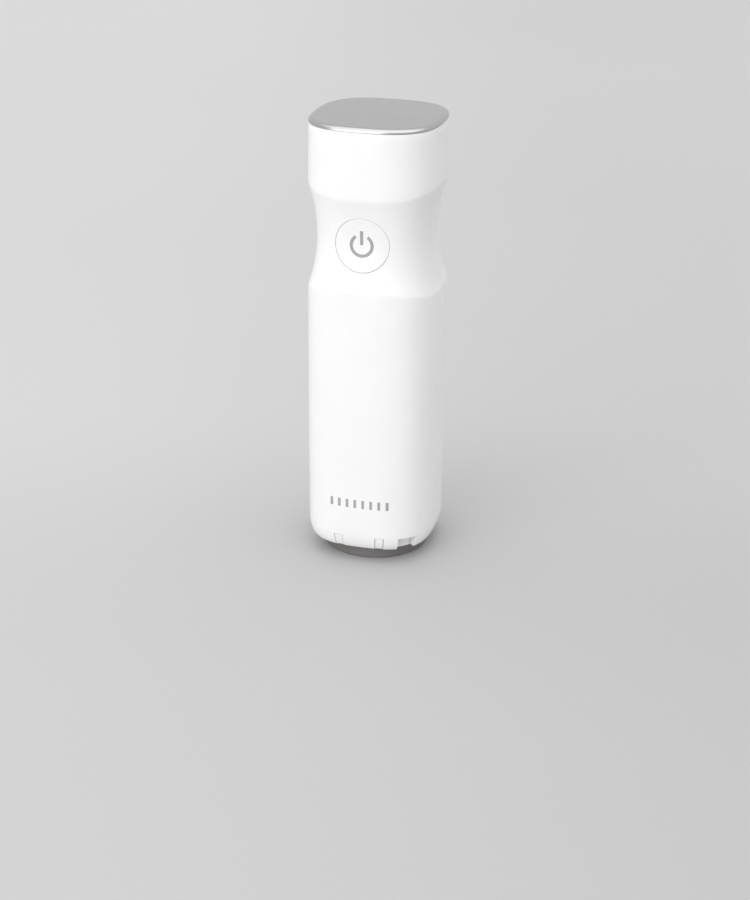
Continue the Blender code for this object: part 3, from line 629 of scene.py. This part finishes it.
def dress_cad_nodes():
    """Every CAD node that still shows takes the procedural material of its slot."""
    slots = {part["node"]: part["material_slot"] for part in frame["record"]["subparts"]}
    for name, node in frame["nodes"].items():
        node.data.materials.clear()
        node.data.materials.append(MATERIALS[slots[name]])


# ---------------------------------------------------------------- stage, light and camera

def floor_paper_painted_light():
    """Pale paper, with painted light that makes it a little lighter far behind the pump and
    painted shade that makes it a little darker to its right.
    """
    made, tree, shader = tree_of("floor_paper_painted_light")
    tone = ramp(tree, noise(tree, 2.0, 3.0), (0.452, 0.448, 0.452), (0.46, 0.456, 0.458))
    where = tree.nodes.new("ShaderNodeTexCoord").outputs["Object"]
    behind, right = (-0.266, 0.964, 0), (0.964, 0.266, 0)
    # Direction, the metres along it between which the tone changes, and the factor at either end;
    # the first two rows paint light far behind the pump, the last paints shade to its right
    for direction, start, end, low, high in ((behind, -0.1, 0.15, 1.0, 1.12),
                                             (behind, 0.15, 1.1, 1.0, 1.06),
                                             (right, -0.2, 0.2, 1.04, 0.94)):
        factor = fade(tree, dot(tree, where, direction), start, end, low, high)
        tone = scaled(tree, tone, factor)
    tree.links.new(tone, shader.inputs["Base Color"])
    tree.links.new(ramp(tree, noise(tree, 300, 3.0), 0.6, 0.7), shader.inputs["Roughness"])
    return made


def backdrop():
    """Pale seamless floor."""
    half_size = 40000
    bm = bmesh.new()
    bmesh.ops.create_grid(bm, x_segments=2, y_segments=2, size=half_size)
    made = finished(bm, "floor")
    made.data.materials.append(floor_paper_painted_light())


def softbox(name, place, aim, size, power):
    """A rectangular area light that looks from place to aim."""
    data = bpy.data.lights.new(name, "AREA")
    data.shape = "RECTANGLE"
    data.size, data.size_y = size
    data.energy = power
    made = bpy.data.objects.new(name, data)
    made.location = place
    made.rotation_euler = (Vector(aim) - Vector(place)).to_track_quat("-Z", "Y").to_euler()
    bpy.context.scene.collection.objects.link(made)
    return made


def surround():
    """Pale surround, brighter overhead and a little in front."""
    world = bpy.data.worlds.new("studio")
    world.use_nodes = True
    tree = world.node_tree
    sky = tree.nodes["Background"]
    sky.inputs["Color"].default_value = (1.0, 0.995, 1.0, 1)
    direction = tree.nodes.new("ShaderNodeTexCoord").outputs["Generated"]
    overhead = dot(tree, direction, (0.05, -0.12, 0.99))
    tree.links.new(fade(tree, overhead, 0.62, 0.84, 0.75, 1.74), sky.inputs["Strength"])
    bpy.context.scene.world = world


def light_stage():
    """The surround, a large key light at the front left and a low fill for the pump alone."""
    surround()
    softbox("key", (-0.52, -1.27, 0.68), (0, 0, 0.1), (1.2, 1.2), 7.5)
    fill = softbox("low_fill", (-0.35, -0.85, 0.06), (0, 0, 0.02), (0.7, 0.12), 0.6)
    lit = bpy.data.collections.new("lit_by_low_fill")
    for piece in PIECES:
        lit.objects.link(piece)
    fill.light_linking.receiver_collection = lit
    bpy.context.scene.view_settings.view_transform = "Standard"


def camera():
    """Three-quarter view from above, a little to the right of the front."""
    azimuth, elevation, roll = math.radians(15.447), math.radians(23.695), math.radians(0.449)
    place, lens = Vector((0.19624, -0.71249, 0.36432)), 76.24
    back = Vector((math.sin(azimuth) * math.cos(elevation),
                   -math.cos(azimuth) * math.cos(elevation), math.sin(elevation)))
    level_right = Vector((math.cos(azimuth), math.sin(azimuth), 0))
    level_up = back.cross(level_right)
    right = level_right * math.cos(roll) + level_up * math.sin(roll)
    up = level_up * math.cos(roll) - level_right * math.sin(roll)
    data = bpy.data.cameras.new("camera")
    data.lens = lens
    data.clip_start, data.clip_end = 0.01, 50
    made = bpy.data.objects.new("camera", data)
    made.matrix_world = Matrix((right, up, back)).transposed().to_4x4()
    made.location = place
    bpy.context.scene.collection.objects.link(made)
    bpy.context.scene.camera = made


camera()
MATERIALS = make_materials()
housing()
top_plate()
button_key()
power_symbol()
charge_marks()
foot_ring()
suction_seal()
charging_socket()
light_window()
dress_cad_nodes()
backdrop()
light_stage()
